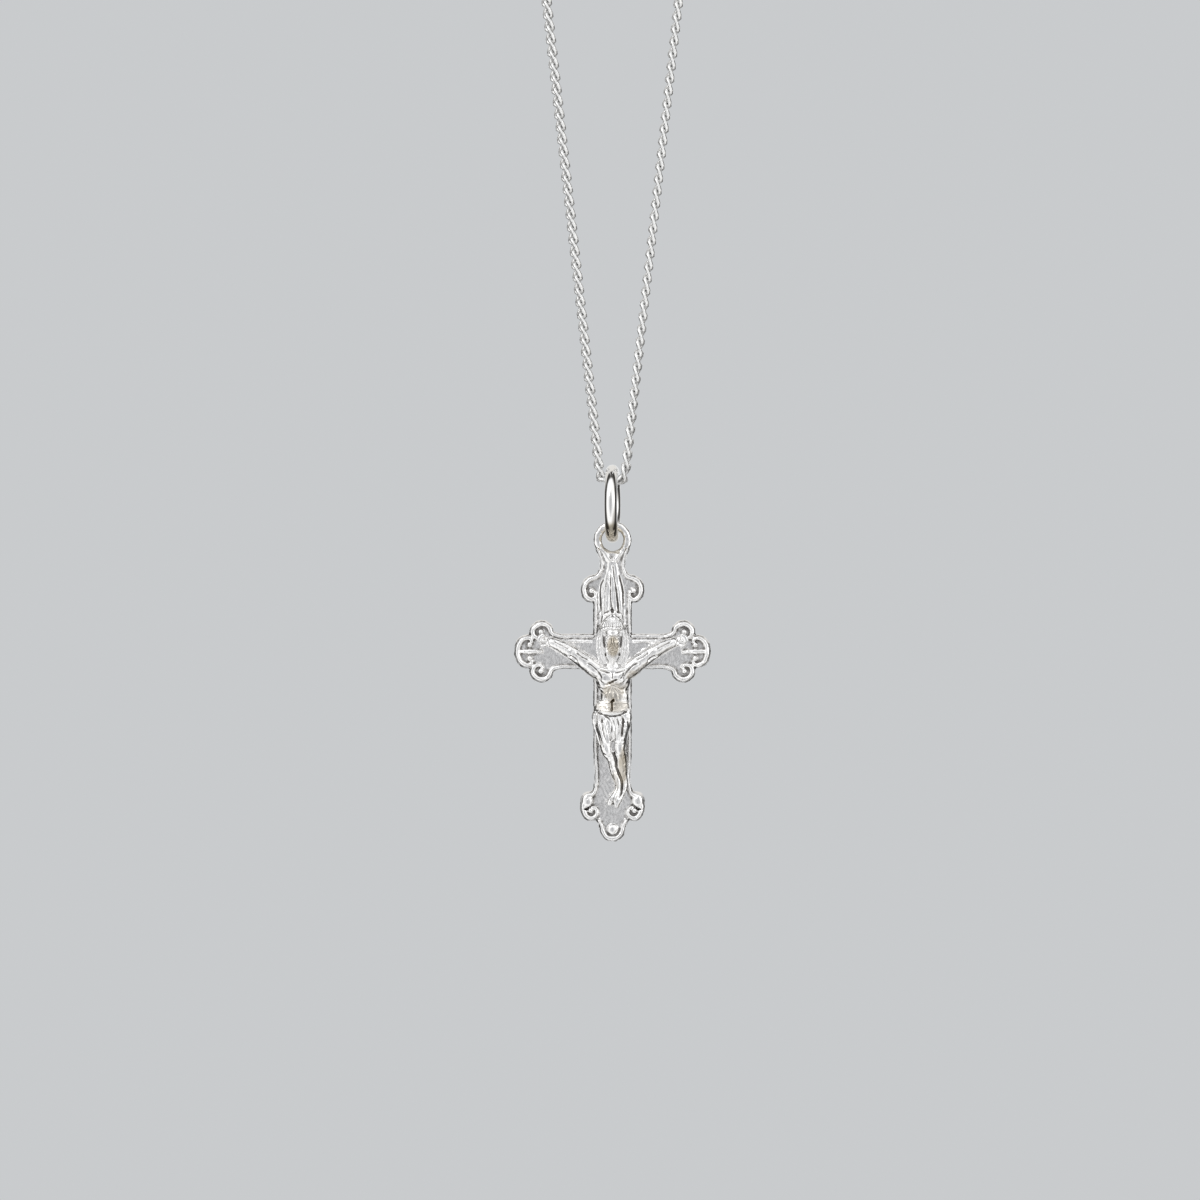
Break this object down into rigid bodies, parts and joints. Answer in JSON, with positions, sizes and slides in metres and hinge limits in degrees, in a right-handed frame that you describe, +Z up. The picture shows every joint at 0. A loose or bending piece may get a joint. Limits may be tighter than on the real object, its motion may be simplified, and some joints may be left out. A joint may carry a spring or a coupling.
{
  "type": "crucifix pendant",
  "caption": "Cast silver crucifix with scrolled arm ends and a relief figure, hung from a jump ring on a closed curb chain with a spring ring clasp.",
  "frame": {"origin": "the inside crown of the chain's loop, where the chain rests on the peg or neck that it hangs over", "axes": "+Z up along the hanging pendant, +X to the viewer's right, the figure faces -Y"},
  "size_m": [0.047, 0.0072, 0.2472],
  "materials": {
    "cast_silver": "cast, tumbled bright, slightly soft edges",
    "polished_wire": "polished round wire",
    "chain_silver": "polished fine links",
    "clasp_silver": "polished tube"
  },
  "bodies": {
    "necklace": {"chain": "chain_silver", "clasp": "clasp_silver", "catch_ring": "polished_wire", "link_ring": "polished_wire"},
    "ring": {"jump_ring": "polished_wire"},
    "pendant": {"crucifix": "cast_silver"}
  },
  "joints": [
    {"name": "ring_swing", "type": "hinge", "parent": "necklace", "child": "ring", "pos_m": [0, 0, -0.21324], "axis": [0.9981, -0.061, 0], "range_deg": [-90, 90]},
    {"name": "crucifix_swing", "type": "hinge", "parent": "ring", "child": "pendant", "pos_m": [0, 0, -0.21799], "axis": [0.061, 0.9981, 0], "range_deg": [-90, 90]}
  ]
}
